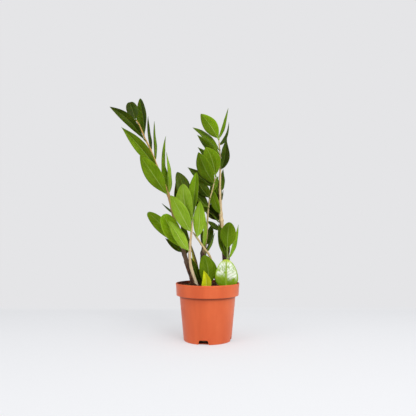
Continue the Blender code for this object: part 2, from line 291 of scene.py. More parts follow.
def leaf_material(name):
    """A waxy leaflet: pale midrib, faint side veins that sweep to the tip, and a pale underside."""
    deep, middle, light, pale, underside = LEAF_TONES[name]
    glossy = name == "leaf_pale"
    shader = Shader(
        name + "_surface",
        Coat_Weight=0.3 if glossy else 0.03,
        Coat_Roughness=0.1 if glossy else 0.16,
        Specular_IOR_Level={"leaf_pale": 0.25, "leaf_dark": 0.08}.get(name, 0.14),
        Specular_Tint=(0.85, 1.0, 0.1, 1.0),
        Subsurface_Weight=0.05,
        Subsurface_Scale=0.004,
    )
    across, along = shader.places()
    seed = shader.value_of("seed")
    flat = shader.node("ShaderNodeCombineXYZ", {0: across, 1: along, 2: seed}).outputs[0]
    off_middle = shader.math("ABSOLUTE", shader.math("SUBTRACT", across, 0.5))
    off_middle = shader.times(off_middle, 2.0)
    rib_width = shader.spread(along, 0.0, 1.0, 0.1, 0.035)
    rib = shader.spread(shader.math("DIVIDE", off_middle, rib_width), 0.25, 1.0, 1.0, 0.0)

    bend = shader.times(shader.math("POWER", off_middle, 0.8), 2.4)
    beat = shader.math("SUBTRACT", shader.times(along, VEIN_PAIRS), bend)
    beat = shader.plus(beat, shader.times(shader.noise(5.0, 2.0, at=flat), 0.7))
    phase = shader.math("ABSOLUTE", shader.math("SUBTRACT", shader.math("FRACT", beat), 0.5))
    vein = shader.spread(phase, 0.0, 0.16, 1.0, 0.0)
    vein = shader.times(vein, shader.spread(off_middle, 0.6, 1.0, 1.0, 0.0))

    patches = shader.noise(34.0, 4.0)
    streaks = shader.noise(1.0, 4.0, stretch=(13.0, 2.4, 7.0), at=flat)
    grain = shader.noise(420.0, 3.0)
    broad = shader.plus(shader.times(patches, 0.45), shader.times(streaks, 0.45))
    mottle = shader.plus(broad, shader.times(grain, 0.1))
    body = shader.ramp(mottle, (0.38, deep), (0.5, middle), (0.64, light))
    body = shader.mix(shader.spread(along, 0.0, 0.3, 0.4, 0.0), body, light)
    body = shader.mix(shader.times(vein, 0.14), body, pale)
    body = shader.mix(shader.spread(off_middle, 0.93, 1.0, 0.0, 0.3), body, pale)
    side = shader.spread(across, 0.44, 0.56, -1.0, 1.0)
    # Painted highlight: pale patches of glossy shine are painted into the colour, thinned on the veins,
    # the midrib and the margin.
    glare = shader.noise(1.0, 5.0, stretch=(6.4, 4.6, 5.0), at=flat)
    glare = shader.times(shader.spread(glare, 0.36, 0.54), shader.value_of("glare"))
    height = shader.plus(along, shader.times(side, 0.1))
    for fade in ((height, 0.2, 0.42), (off_middle, 0.03, 0.16), (off_middle, 0.82, 0.96, 1.0, 0.0)):
        glare = shader.times(glare, shader.spread(*fade))
    gaps = shader.spread(phase, 0.02, 0.2, 0.5, 1.0)
    body = shader.mix(shader.times(glare, gaps), body, (240, 246, 228))
    if glossy:
        body = shader.mix(shader.spread(along, 0.16, 0.36, 0.9, 0.0), body, deep)
        body = shader.mix(shader.spread(along, 0.8, 0.96, 0.0, 0.9), body, (180, 204, 30))
    body = shader.mix(shader.times(rib, 0.75), body, pale)

    under = shader.mix(shader.times(rib, 0.8), underside, pale)
    under = shader.mix(shader.times(vein, 0.3), under, deep)
    under = shader.mix(shader.times(patches, 0.35), under, middle)
    colour = shader.mix(shader.value_of("under"), body, under)
    # Painted light and shade: one half of each blade is painted lighter and the other darker, as if the
    # light fell across it.
    value = shader.plus(1.0, shader.times(side, shader.value_of("lean")))
    # Each leaflet's lightness: its own tone together with painted light and shade for where it sits in
    # the foliage.
    value = shader.times(value, shader.value_of("shade"))
    colour = shader.node("ShaderNodeHueSaturation", {"Color": colour, "Value": value})

    gloss = shader.spread(streaks, 0.3, 0.7, *((0.1, 0.24) if glossy else (0.26, 0.42)))
    gloss = shader.plus(gloss, shader.times(shader.value_of("under"), 0.2))
    relief = shader.times(vein, -0.6)
    relief = shader.plus(relief, shader.times(grain, 0.12))
    relief = shader.plus(relief, shader.times(streaks, 1.6))
    return shader.finished(colour.outputs[0], gloss, relief, 0.0005, 0.7)


def stem_material(name, stops, stain, stain_share, shaded_side):
    """A fleshy stalk that changes colour from foot to tip, with lengthwise fibres, specks and stains,
    and painted shade down one side.
    """
    shader = Shader(name + "_skin", Coat_Weight=0.1, Coat_Roughness=0.3, Specular_IOR_Level=0.35)
    around, along = shader.places()
    fibres = shader.noise(900.0, 3.0, stretch=(1.0, 1.0, 0.06))
    patches = shader.noise(120.0, 4.0, stretch=(1.0, 1.0, 0.3))
    specks = shader.noise(1400.0, 2.0)
    height = shader.plus(along, shader.times(shader.math("SUBTRACT", patches, 0.5), 0.16))
    body = shader.ramp(height, *stops)
    # Painted shade: the stain colour is laid in a band down one side of the stalk, as if that side were
    # in shade.
    side = shader.math("ABSOLUTE", shader.math("SUBTRACT", around, shaded_side))
    side = shader.spread(side, 0.05, 0.22, 0.34, 0.0)
    reach = shader.spread(along, 0.1, 0.95, stain_share, stain_share * 0.35)
    bias = shader.plus(shader.plus(patches, side), shader.times(reach, 0.5))
    body = shader.mix(shader.spread(bias, 0.72, 0.9, 0.0, 0.9), body, stain)
    body = shader.mix(shader.spread(fibres, 0.4, 0.7, 0.0, 0.35), body, stain)
    body = shader.mix(shader.spread(specks, 0.62, 0.72, 0.0, 0.4), body, stain)
    relief = shader.plus(fibres, shader.times(patches, 0.8))
    rough = shader.spread(patches, 0.3, 0.7, 0.38, 0.62)
    return shader.finished(body, rough, relief, 0.0006, 0.7)


def sheath_material():
    """Dry papery scale: brown with pale lengthwise fibres and a torn pale edge."""
    shader = Shader("dry_sheath", Specular_IOR_Level=0.2)
    across, along = shader.places()
    fibres = shader.noise(1000.0, 3.0, stretch=(1.0, 1.0, 0.08))
    patches = shader.noise(160.0, 4.0)
    browns = (0.35, (52, 32, 22)), (0.55, (96, 62, 44)), (0.75, (150, 112, 84))
    body = shader.ramp(patches, *browns)
    body = shader.mix(shader.spread(fibres, 0.5, 0.7, 0.0, 0.6), body, (176, 140, 108))
    body = shader.mix(shader.spread(along, 0.7, 1.0, 0.0, 0.5), body, (160, 128, 92))
    relief = shader.plus(fibres, patches)
    rough = shader.spread(patches, 0.3, 0.7, 0.6, 0.85)
    return shader.finished(body, rough, relief, 0.0006, 0.8)


def soil_material():
    """Damp brown peat with paler fibres."""
    shader = Shader("peat", Specular_IOR_Level=0.25)
    coarse = shader.noise(240.0, 6.0, roughness=0.7)
    fine = shader.noise(1500.0, 4.0, roughness=0.7)
    straw = shader.noise(700.0, 2.0, stretch=(1.0, 0.12, 0.5))
    browns = (0.3, (38, 22, 14)), (0.5, (86, 54, 36)), (0.72, (138, 96, 64))
    body = shader.ramp(coarse, *browns)
    body = shader.mix(shader.spread(fine, 0.55, 0.75, 0.0, 0.5), body, (20, 12, 8))
    body = shader.mix(shader.spread(straw, 0.64, 0.72, 0.0, 0.5), body, (150, 116, 78))
    relief = shader.plus(coarse, shader.times(fine, 0.5))
    rough = shader.spread(coarse, 0.3, 0.7, 0.78, 0.96)
    return shader.finished(body, rough, relief, 0.0012, 0.9)


def crumb_material():
    """Crumbs of peat, each as dark or pale as its own lightness says."""
    shader = Shader("peat_crumbs", Specular_IOR_Level=0.25)
    lightness = shader.value_of("lightness")
    fine = shader.noise(1800.0, 4.0, roughness=0.7)
    browns = (0.0, (24, 14, 9)), (0.45, (78, 48, 32)), (0.8, (132, 90, 58)), (1.0, (176, 136, 92))
    body = shader.ramp(lightness, *browns)
    body = shader.mix(shader.spread(fine, 0.4, 0.7, 0.0, 0.45), body, (22, 13, 9))
    rough = shader.spread(fine, 0.3, 0.7, 0.75, 0.95)
    return shader.finished(body, rough, fine, 0.0008, 0.8)


def pot_material(band_foot):
    """Moulded plastic: flow marks, grain, scuffs, painted shadow under the rim band and peat stains
    inside.
    """
    shader = Shader(
        "moulded_plastic",
        Specular_IOR_Level=0.4,
        Specular_Tint=(1.0, 0.8, 0.6, 1.0),
        Coat_Weight=0.04,
        Coat_Roughness=0.35,
        Subsurface_Weight=0.04,
        Subsurface_Scale=0.003,
    )
    flow = shader.noise(30.0, 3.0, stretch=(1.0, 1.0, 0.12))
    clouds = shader.noise(22.0, 3.0)
    grain = shader.noise(1600.0, 2.0)
    marks = shader.noise(420.0, 3.0, stretch=(1.0, 1.0, 0.1))
    oranges = (0.3, (216, 94, 50)), (0.5, (228, 104, 57)), (0.7, (236, 114, 66))
    body = shader.ramp(flow, *oranges)
    body = shader.mix(shader.spread(clouds, 0.35, 0.65, 0.0, 0.18), body, (206, 84, 52))
    body = shader.mix(shader.spread(marks, 0.66, 0.78, 0.0, 0.16), body, (240, 140, 108))
    place = shader.node("ShaderNodeTexCoord").outputs["Object"]
    height = shader.node("ShaderNodeSeparateXYZ", {0: place}).outputs[2]
    # Painted shadow: a dark band just under the rim band's overhang, where its shade falls.
    band_shadow = shader.spread(height, band_foot - 0.006, band_foot - 0.0014, 0.0, 0.75)
    below_band = shader.spread(height, band_foot, band_foot + 0.0004, 1.0, 0.0)
    body = shader.mix(shader.times(band_shadow, below_band), body, (112, 38, 24))
    stain = shader.spread(shader.noise(90.0, 5.0), 0.3, 0.6, 0.45, 0.95)
    grime = shader.times(shader.value_of("inside"), stain)
    body = shader.mix(grime, body, (96, 34, 20))
    rough = shader.spread(clouds, 0.3, 0.7, 0.36, 0.46)
    rough = shader.plus(rough, shader.times(shader.spread(marks, 0.6, 0.8), 0.12))
    relief = shader.plus(shader.times(grain, 0.25), flow)
    return shader.finished(body, rough, relief, 0.0003, 0.35)


def rhizome_material():
    """Pale brown skin with darker rings."""
    shader = Shader("rhizome_skin")
    rings = shader.noise(120.0, 3.0, stretch=(2.0, 0.3, 0.3))
    specks = shader.noise(900.0, 3.0)
    body = shader.ramp(rings, (0.35, (120, 88, 58)), (0.6, (178, 146, 106)))
    body = shader.mix(shader.spread(specks, 0.55, 0.7, 0.0, 0.5), body, (84, 58, 38))
    return shader.finished(body, 0.7, rings, 0.001, 0.8)


leaf_surfaces = {name: leaf_material(name) for name in LEAF_TONES}
sheath_look = sheath_material()
# For each stem: its colours by share of its length, then the colour of its stains, how much of it they
# cover, and the side on which that colour is also painted as shade down the stem, as a share of the way
# round from the back.
STEM_LOOKS = {
    "stem_left_tall": (
        [(0.1, (104, 80, 62)), (0.3, (110, 84, 58)), (0.5, (176, 138, 76)), (0.8, (206, 166, 92))],
        (44, 27, 16), 0.44, 0.92,
    ),
    "stem_front": (
        [(0.05, (250, 238, 208)), (0.35, (232, 208, 162)), (0.7, (214, 188, 142))],
        (120, 78, 48), 0.1, 0.28,
    ),
    "stem_crossing": (
        [(0.1, (214, 192, 146)), (0.5, (220, 192, 140)), (0.9, (206, 186, 126))],
        (84, 50, 28), 0.16, 0.28,
    ),
    "stem_back": (
        [(0.1, (96, 70, 34)), (0.35, (150, 134, 44)), (0.6, (160, 150, 60))],
        (52, 34, 20), 0.34, 0.72,
    ),
    "stem_middle": (
        [(0.05, (62, 40, 30)), (0.32, (96, 66, 52)), (0.42, (186, 168, 104)), (0.8, (210, 190, 130))],
        (44, 28, 18), 0.24, 0.3,
    ),
    "stem_right_tall": (
        [(0.05, (52, 32, 22)), (0.27, (84, 56, 38)), (0.36, (228, 200, 150)), (0.8, (214, 190, 142))],
        (120, 80, 48), 0.12, 0.27,
    ),
    "stem_right_short": (
        [(0.2, (92, 50, 32)), (0.6, (112, 80, 48)), (0.85, (146, 168, 90))],
        (70, 36, 24), 0.24, 0.7,
    ),
}


# -------- stems

STEM_OF_LETTER = dict(zip("abcdefg", STEM_LOOKS))
STEM_CUTS = 60
STEM_STEP = 0.0016
STEM_SIDES = 20
STEM_FULLNESS = 1.02
JOINT_SWELL = 0.13
JOINT_LENGTH = 0.0028
NECK_PINCH = 0.05
NECK_LENGTH = 0.003
NECK_ABOVE_JOINT = 0.006
STEM_UNEVENNESS = 0.05
STEM_RIDGES = 0.02


def read_stem(name):
    """The centre line and radius of a stem, from level cuts through its node."""
    points, faces = node_mesh(name)
    low, high = points[:, 2].min(), points[:, 2].max()
    centres, radii = [], []
    for height in np.linspace(low + 0.001, high - 0.0012, STEM_CUTS):
        cut = level_cut(points, faces, height)
        centres.append((cut.min(0) + cut.max(0)) / 2)
        radii.append(np.ptp(cut[:, 1]) / 2)
    return np.array(centres), np.array(radii)


stems = {name: read_stem(name) for name in STEM_LOOKS}


def stem_at(name, heights):
    """The centre and radius of a stem at one height or several."""
    centres, radii = stems[name]
    centre = np.stack([np.interp(heights, centres[:, 2], centres[:, k]) for k in range(3)], axis=-1)
    return centre, np.interp(heights, centres[:, 2], radii)


def nearest_on_stem(name, point):
    centres, radii = stems[name]
    best = np.argmin(np.linalg.norm(centres - point, axis=1))
    return centres[best], radii[best]


def build_stem(name, joints):
    """A smooth tube along the stem, swollen a little where each leaflet leaves it."""
    centres, radii = stems[name]
    count = int(np.ptp(centres[:, 2]) / STEM_STEP)
    heights = np.linspace(centres[0, 2], centres[-1, 2], count)
    path, thick = stem_at(name, heights)
    path = eased(path, 3)
    for joint in joints:
        gap = heights - joint
        swell = JOINT_SWELL * np.exp(-((gap / JOINT_LENGTH) ** 2))
        pinch = NECK_PINCH * np.exp(-(((gap - NECK_ABOVE_JOINT) / NECK_LENGTH) ** 2))
        thick *= 1.0 + swell - pinch
    for i, height in enumerate(heights):
        thick[i] *= 1.0 + STEM_UNEVENNESS * noise.noise(Vector((0.0, hash_of(name), height * 160)))
    thick *= STEM_FULLNESS
    closing = np.clip((heights[-1] - heights) / (1.2 * radii[-1]), 0.03, 1.0)
    thick *= np.sqrt(closing * (2.0 - closing))
    points, faces, places = tube(path, thick, STEM_SIDES, ridges=STEM_RIDGES)
    material = stem_material(name, *STEM_LOOKS[name])
    make_piece(name + "_stalk", points, faces, material, "stem", [name], uv=places)


SHEATH_RINGS = 14
SHEATH_COLUMNS = 13
SHEATH_THICKNESS = 0.00022
SHEATH_CLEARANCE = 0.0004


def build_sheath(name, stem, low, high, bearing, spread, flare):
    """A thin dry scale wrapped part of the way round a stem. Its pointed top stands off a little."""
    rings, columns = SHEATH_RINGS, SHEATH_COLUMNS
    outer, inner, places = [], [], []
    for i in range(rings):
        t = i / (rings - 1)
        centre, radius = stem_at(stem, low + (high - low) * t)
        radius = radius * 1.1 + SHEATH_CLEARANCE + flare * t**3
        half = spread * (1 - t**2.4) * 0.98 + 0.03
        for j in range(columns):
            share = j / (columns - 1) * 2 - 1
            turn = bearing + half * share
            ripple = 1.0 + 0.05 * noise.noise(Vector((turn * 2.5, t * 4, hash_of(name))))
            lift = 0.0015 * noise.noise(Vector((turn * 1.3, 7.0, hash_of(name)))) * t * t
            out = np.array((math.cos(turn), math.sin(turn), 0.0))
            point = centre + out * radius * ripple + UP * lift
            outer.append(point)
            inner.append(point - out * SHEATH_THICKNESS)
            places.append(((share + 1) / 2, t))
    points = outer + inner
    count = len(outer)
    faces = []
    for i in range(rings - 1):
        for j in range(columns - 1):
            a = i * columns + j
            quad = (a, a + 1, a + columns + 1, a + columns)
            faces.append(quad)
            faces.append(tuple(k + count for k in reversed(quad)))
    border = list(range(columns))
    border += [i * columns + columns - 1 for i in range(1, rings)]
    border += [(rings - 1) * columns + j for j in reversed(range(columns - 1))]
    border += [i * columns for i in reversed(range(1, rings - 1))]
    for a, b in zip(border, border[1:] + border[:1]):
        faces.append((b, a, a + count, b + count))
    make_piece(name, points, faces, sheath_look, "stem", uv=places + places)


# Dry scales: stem, lowest and highest height in mm, bearing and spread in degrees, flare in mm.
SHEATHS = [
    ("left_tall", 97, 124, -70, 130, 0.8),
    ("left_tall", 97, 112, 110, 120, 0.6),
    ("left_tall", 122, 146, 170, 110, 0.5),
    ("middle", 97, 128, -110, 130, 0.7),
    ("middle", 108, 152, -20, 110, 0.8),
    ("middle", 97, 116, 80, 120, 0.6),
    ("right_tall", 97, 122, -140, 130, 0.8),
    ("right_tall", 108, 150, -40, 120, 0.9),
    ("right_tall", 97, 116, 90, 110, 0.6),
    ("right_short", 97, 122, -60, 120, 0.7),
    ("back", 97, 116, -90, 120, 0.5),
    ("front", 97, 108, -150, 110, 0.6),
]


# -------- leaflets

STATIONS = [(1 - math.cos(math.pi * k / 6)) / 2 for k in range(1, 6)]
END_SLICE = 0.0006
NODE_PEAK = 0.8
NODE_FULLNESS = 0.85
RINGS = 40
HALF_COLUMNS = 8
FOLD_MORE = 1.3
DOME = 0.24
LEAST_HALF_FOOT = 0.0009
LEAST_HALF_TIP = 0.00012
BLADE_THICKNESS = 0.0008
RIB_THICKNESS = 0.0007
RIB_WIDTH = 0.0011
GROOVE_DEPTH = 0.00035
GROOVE_WIDTH = 0.001
STALK_SIDES = 10
STALK_STEPS = 14


def look(shade=None, lean=0.06, outline=(0.8, 0.8, 1.05), glare=0.0):
    """How one leaflet differs from the usual one of its colour.

    shade: how light it is, its own tone together with painted light and shade for where it sits in the
    foliage. The next value is painted light and shade across the blade: how much lighter its right half
    is painted than its left half.
    outline: where it is broadest (lower is nearer the stalk), and how sharp its foot and tip are. glare:
    how much painted highlight, a pale glossy shine, lies on it in patches.
    """
    return shade, lean, outline, glare


LEAFLET_LOOKS = {
    "a_back_top": look(shade=1.0, lean=-0.25, outline=(1.1, 0.7, 0.7)),
    "a_left_1": look(shade=0.62, lean=-0.25, outline=(1.15, 1.0, 0.9)),
    "a_left_2": look(shade=0.64, lean=-0.2, outline=(0.85, 0.8, 1.1)),
    "a_left_3": look(shade=0.85, lean=0.12, outline=(1.1, 0.95, 0.8)),
    "a_low_1": look(shade=0.95, outline=(1.25, 0.8, 0.5)),
    "a_low_2": look(shade=1.75, outline=(1.35, 0.75, 0.4)),
    "a_top": look(shade=0.6, lean=0.12, outline=(1.2, 0.6, 0.42)),
    "b_left_1": look(shade=0.92, lean=0.1, outline=(0.95, 0.75, 0.75)),
    "b_left_2": look(shade=0.82, lean=0.08, outline=(0.95, 0.75, 0.75)),
    "b_top_1": look(shade=0.7, lean=0.08, outline=(1.05, 0.8, 0.6)),
    "b_top_2": look(shade=1.05, lean=-0.15, outline=(1.15, 0.75, 0.6)),
    "c_top": look(shade=0.95, lean=0.08, outline=(0.9, 0.75, 0.75)),
    "d_top_1": look(shade=0.9, outline=(1.0, 0.8, 0.65), glare=0.02),
    "e_left_1": look(shade=0.8, lean=-0.3),
    "e_left_2": look(shade=0.7, lean=0.3),
    "e_left_3": look(lean=-0.3),
    "e_top_1": look(shade=1.03, lean=0.14, outline=(1.0, 0.8, 0.7)),
    "e_top_2": look(shade=0.7, lean=0.25, outline=(1.0, 0.75, 0.8)),
    "f_left_1": look(shade=0.58, lean=0.1, outline=(0.95, 0.8, 0.9)),
    "f_left_2": look(lean=0.2),
    "f_left_3": look(shade=0.9),
    "f_left_4": look(shade=0.85, lean=0.25),
    "f_left_5": look(shade=0.32),
    "f_left_6": look(glare=0.01),
    "f_right_3": look(shade=0.62, lean=-0.4),
    "f_top_1": look(shade=1.1, lean=0.35, outline=(1.0, 0.8, 0.75)),
    "g_back": look(shade=1.15),
    "g_front": look(shade=0.75, lean=0.1, outline=(1.1, 0.8, 0.55)),
    "g_right": look(shade=1.45),
    "low_glossy": look(outline=(0.62, 0.5, 0.5), glare=1.0),
    "low_round": look(shade=0.75, lean=0.1, outline=(1.05, 0.8, 0.6)),
    "low_young": look(shade=1.3, lean=-0.12, outline=(0.42, 0.6, 0.85)),
}


def blade_outline(shares, peak, foot, tip):
    """How wide a blade is along its length, as a share of its full width."""
    swell = np.sin(math.pi * np.clip(shares, 0.0, 1.0) ** peak).clip(0.0)
    return swell ** (foot + (tip - foot) * shares)


def node_outline(shares):
    return np.sin(math.pi * shares**NODE_PEAK).clip(0.0) ** NODE_FULLNESS


def read_blade(name):
    """Where a leaflet's node lies: its foot, axes, length, half width, middle line and fold."""
    points, faces = node_mesh(name)
    centre = points.mean(0)
    along = np.linalg.svd(points - centre, full_matrices=False)[2][0]
    along = along * math.copysign(1.0, along[2])
    for _ in range(2):
        reach = (points - centre) @ along
        foot = points[reach < reach.min() + END_SLICE].mean(0)
        tip = points[reach > reach.max() - END_SLICE].mean(0)
        along = unit(tip - foot)
    length = np.linalg.norm(tip - foot)
    wide = slice_mesh(points, faces, foot + along * length * 0.42, along)
    side = np.linalg.svd(wide - wide.mean(0), full_matrices=False)[2][0]
    side = unit(side - along * (side @ along))
    face = np.cross(side, along)
    rows = []
    for share in STATIONS:
        cut = slice_mesh(points, faces, foot + along * length * share, along) - foot
        u, w = cut @ side, cut @ face
        middle, half = (u.min() + u.max()) / 2, np.ptp(u) / 2
        core = w[np.abs(u - middle) < 0.15 * half]
        rim = w[np.abs(u - middle) > 0.88 * half]
        rows.append((share, middle, (core.min() + core.max()) / 2, half, rim.mean()))
    rows = np.array(rows)
    fold = ((rows[1:4, 4] - rows[1:4, 2]) / rows[1:4, 3]).mean()
    if fold < 0:
        side, face, fold = -side, -face, -fold
        rows[:, 1:3] *= -1
    half = (rows[1:4, 3] / node_outline(rows[1:4, 0])).mean()
    shares = np.concatenate([[0.0], rows[:, 0], [1.0]])
    sideways = np.polyfit(shares, np.concatenate([[0.0], rows[:, 1], [0.0]]), 4)
    forward = np.polyfit(shares, np.concatenate([[0.0], rows[:, 2], [0.0]]), 4)
    return foot, along, side, face, length, half, sideways, forward, fold


def loose_blade(stem, height, reach, width, turn):
    """A blade that has no node of its own: where it leaves its stem, and its axes and size."""
    centres, radii = stems[stem]
    nearest = np.argmin(np.abs(centres[:, 2] - height * MM))
    reach = np.array(reach) * MM
    level = unit(np.array((reach[0], reach[1], 0.0)))
    foot = centres[nearest] + level * (radii[nearest] + 0.001)
    along = unit(reach)
    facing = unit(FRONT - along * (FRONT @ along))
    angle = math.radians(turn)
    face = facing * math.cos(angle) + np.cross(along, facing) * math.sin(angle)
    side = np.cross(along, face)
    straight = np.zeros(5)
    return foot, along, side, face, np.linalg.norm(reach), width / 2 * MM, straight, straight, 0.25


def blade_ring(spine, across, out, width, share, fold, waves, columns):
    """The points round a blade at one place along it: its upper side, then its lower side back again."""
    upper, lower = [], []
    for column in columns:
        off = abs(column)
        beat, phase, size = waves[0] if column < 0 else waves[1]
        lift = fold * width * off
        lift += DOME * width * off * (1 - off)
        lift -= GROOVE_DEPTH * math.exp(-((off * width / GROOVE_WIDTH) ** 2)) * (1 - share) ** 0.5
        lift += size * width * off**2 * math.sin(6.28 * beat * share + phase)
        thick = BLADE_THICKNESS * (1 - 0.68 * off**3) * (1 - 0.45 * share)
        thick += RIB_THICKNESS * math.exp(-((off * width / RIB_WIDTH) ** 2)) * (1 - share) ** 0.8
        point = spine + across * width * column + out * lift
        upper.append(point)
        lower.append(point - out * thick)
    return upper + lower[::-1]


def leaf_stalk(blade, stem, start):
    """The short stalk that joins a blade to its stem, or to the soil where it has none."""
    foot, along, side, face, length, half, sideways, forward, _ = blade
    if stem:
        root, radius = nearest_on_stem(stem, foot)
        root = root - along * 0.6 * radius
    else:
        root = foot - UP * 0.003
    into = foot + along * 0.14 * length + side * np.polyval(sideways, 0.14)
    into = into + face * (np.polyval(forward, 0.14) - 0.0009)
    near = foot + along * 0.02 * length - face * 0.0004
    controls = np.array([root, (root + near) / 2 - UP * 0.0004, near, into])
    shares = np.linspace(0, 1, STALK_STEPS)
    path = np.array([np.interp(shares, (0, 0.3, 0.6, 1), controls[:, k]) for k in range(3)]).T
    thick = min(0.0017, 0.0010 + half * 0.045)
    radii = np.interp(shares, (0, 0.25, 0.6, 1), (thick * 1.15, thick, thick * 0.8, 0.0003))
    return tube(eased(path, 4), radii, STALK_SIDES, start)


def build_leaflet(name, blade, replaced, slot, stem=None):
    """A thick waxy blade with a grooved midrib, domed halves and a wavy margin, on a short stalk."""
    foot, along, side, face, length, half, sideways, forward, fold = blade
    shade, lean, outline, glare = LEAFLET_LOOKS.get(name.removeprefix("leaflet_"), look())
    rng = random.Random(name)
    waves = [(rng.uniform(1.2, 2.6), rng.uniform(0, 6.28), rng.uniform(0.02, 0.05)) for _ in range(2)]
    twist = rng.uniform(-0.1, 0.1)
    curl = rng.uniform(-0.012, 0.02)
    usual_shade = rng.uniform(0.93, 1.05)
    shares = (1 - np.cos(np.linspace(0.05, math.pi, RINGS))) / 2
    shares = 0.55 * shares + 0.45 * np.linspace(shares[0], 1.0, RINGS)
    least = LEAST_HALF_FOOT * (1 - shares) + LEAST_HALF_TIP
    halves = np.maximum(half * blade_outline(shares, *outline), least)
    columns = np.linspace(-1.0, 1.0, 2 * HALF_COLUMNS + 1)
    columns = np.sign(columns) * np.abs(columns) ** 0.85
    points, places = [], []
    for share, width in zip(shares, halves):
        spine = foot + along * length * share
        spine = spine + side * np.polyval(sideways, share) + face * np.polyval(forward, share)
        spine = spine + face * curl * length * math.sin(math.pi * share) * share
        tilt = twist * share
        across = side * math.cos(tilt) + face * math.sin(tilt)
        out = face * math.cos(tilt) - side * math.sin(tilt)
        points += blade_ring(spine, across, out, width, share, fold * FOLD_MORE, waves, columns)
        places += [((column + 1) / 2, share) for column in (*columns, *columns[::-1])]
    under = ([0.0] * len(columns) + [1.0] * len(columns)) * RINGS
    sides = 2 * len(columns)
    faces = [quad[::-1] for quad in ring_faces(0, RINGS, sides)]
    faces.append(tuple(range(sides)))
    faces.append(tuple((RINGS - 1) * sides + j for j in reversed(range(sides))))
    more, more_faces, more_places = leaf_stalk(blade, stem, len(points))
    points += more
    faces += more_faces
    places += [(0.5, 0.02 + 0.1 * share) for _, share in more_places]
    under += [0.35] * len(more)
    count = len(points)
    make_piece(
        name + "_blade",
        points,
        faces,
        leaf_surfaces[slot],
        slot,
        replaced,
        uv=places,
        under=under,
        shade=[shade or usual_shade] * count,
        lean=[lean] * count,
        glare=[glare] * count,
        seed=[hash_of(name)] * count,
    )


# Leaflets deep in the foliage, beside the nodes: the height at which each leaves its stem, where its tip
# lies from there, its width, its turn about its own length, and its colour. In mm and degrees.
EXTRA_LEAFLETS = [
    ("f_inner_1", "right_tall", 262, (-14, 16, 44), 22, 10, "leaf_dark"),
    ("f_inner_2", "right_tall", 276, (-8, 6, 28), 10, 30, "leaf_green"),
    ("f_inner_3", "right_tall", 224, (-19, 4, 20), 7, 80, "leaf_green"),
    ("f_inner_4", "right_tall", 262, (5, 8, 24), 8, 80, "leaf_dark"),
    ("f_inner_5", "right_tall", 256, (-5, 15, 58), 14, 0, "leaf_dark"),
    ("e_inner_1", "middle", 255, (14, 22, 46), 17, 30, "leaf_dark"),
    ("e_inner_3", "middle", 240, (-25, 12, 33), 21, 0, "leaf_dark"),
    ("e_inner_2", "middle", 278, (12, 16, 34), 12, -30, "leaf_green"),
    ("a_inner_3", "left_tall", 276, (-7, 20, 60), 11, 10, "leaf_green"),
    ("a_inner_1", "left_tall", 164, (-30, -8, 26), 14, 30, "leaf_dark"),
    ("a_inner_2", "left_tall", 158, (4, 16, 34), 13, 40, "leaf_dark"),
]

joints_of = {name: [] for name in STEM_LOOKS}
for node in sorted(name for name in frame["nodes"] if name.startswith("leaflet_")):
    blade = read_blade(node)
    stem = STEM_OF_LETTER.get(node.split("_")[1])
    build_leaflet(node, blade, [node], slot_of[node], stem)
    if stem:
        foot_height = blade[0][2]
        joints_of[stem].append(foot_height - 0.001)
for name, side, height, reach, width, turn, slot in EXTRA_LEAFLETS:
    stem = "stem_" + side
    build_leaflet("leaflet_" + name, loose_blade(stem, height, reach, width, turn), [], slot, stem)
    joints_of[stem].append(height * MM)
for name, joints in joints_of.items():
    build_stem(name, joints)
for number, (side, low, high, bearing, spread, flare) in enumerate(SHEATHS, 1):
    angles = math.radians(bearing), math.radians(spread)
    build_sheath(f"sheath_{number}", "stem_" + side, low * MM, high * MM, *angles, flare * MM)


# -------- pot

POT_STEPS = 168
CORNER_STEPS = 5
NOTCH_LOW = 0.0025
NOTCH_HIGH = 0.0065
NOTCH_EASE = 0.0014
NOTCH_REACH = 0.007
LEAST_NOTCH_TURN = 0.2
pot_points, pot_faces = node_mesh("pot")


def pot_cut(height):
    """The points of the pot's wall at a height, and how far each is from the axis."""
    cut = level_cut(pot_points, pot_faces, height)
    return cut, np.hypot(cut[:, 0], cut[:, 1])


def pot_radius(height):
    return pot_cut(height)[1].max()


def read_pot():
    """Heights of the pot's top, of its rim band's foot, where the wall steps in, and of its floor."""
    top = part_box("pot")[1].z
    heights = np.arange(top - 0.002, top * 0.6, -0.00025)
    radii = np.array([pot_radius(height) for height in heights])
    band_foot = heights[1 + np.argmax(radii[:-1] - radii[1:] > 0.002)]
    near_axis = np.hypot(pot_points[:, 0], pot_points[:, 1]) < 0.001
    return top, band_foot, pot_points[near_axis, 2].max()


def rounded(corners):
    """A (radius, height) outline with each corner eased by its own size."""
    line = []
    for i, (radius, height, ease) in enumerate(corners):
        here = np.array((radius, height))
        if ease == 0 or i in (0, len(corners) - 1):
            line.append(here)
            continue
        before = np.array(corners[i - 1][:2])
        after = np.array(corners[i + 1][:2])
        start = here + unit(before - here) * min(ease, np.linalg.norm(before - here) * 0.45)
        end = here + unit(after - here) * min(ease, np.linalg.norm(after - here) * 0.45)
        for t in np.linspace(0, 1, CORNER_STEPS):
            line.append((1 - t) ** 2 * start + 2 * t * (1 - t) * here + t**2 * end)
    return line


def notch_gaps(height):
    """Bearings (from, to) of the gaps in the pot's wall at a height, and the wall's outer radius."""
    cut, reach = pot_cut(height)
    rim = cut[reach > reach.max() - 0.0003]
    bearings = np.unique(np.round(np.arctan2(rim[:, 1], rim[:, 0]), 4))
    following = np.append(bearings[1:], bearings[0] + 2 * math.pi)
    wide = following - bearings > LEAST_NOTCH_TURN
    return list(zip(bearings[wide], following[wide])), reach.max()


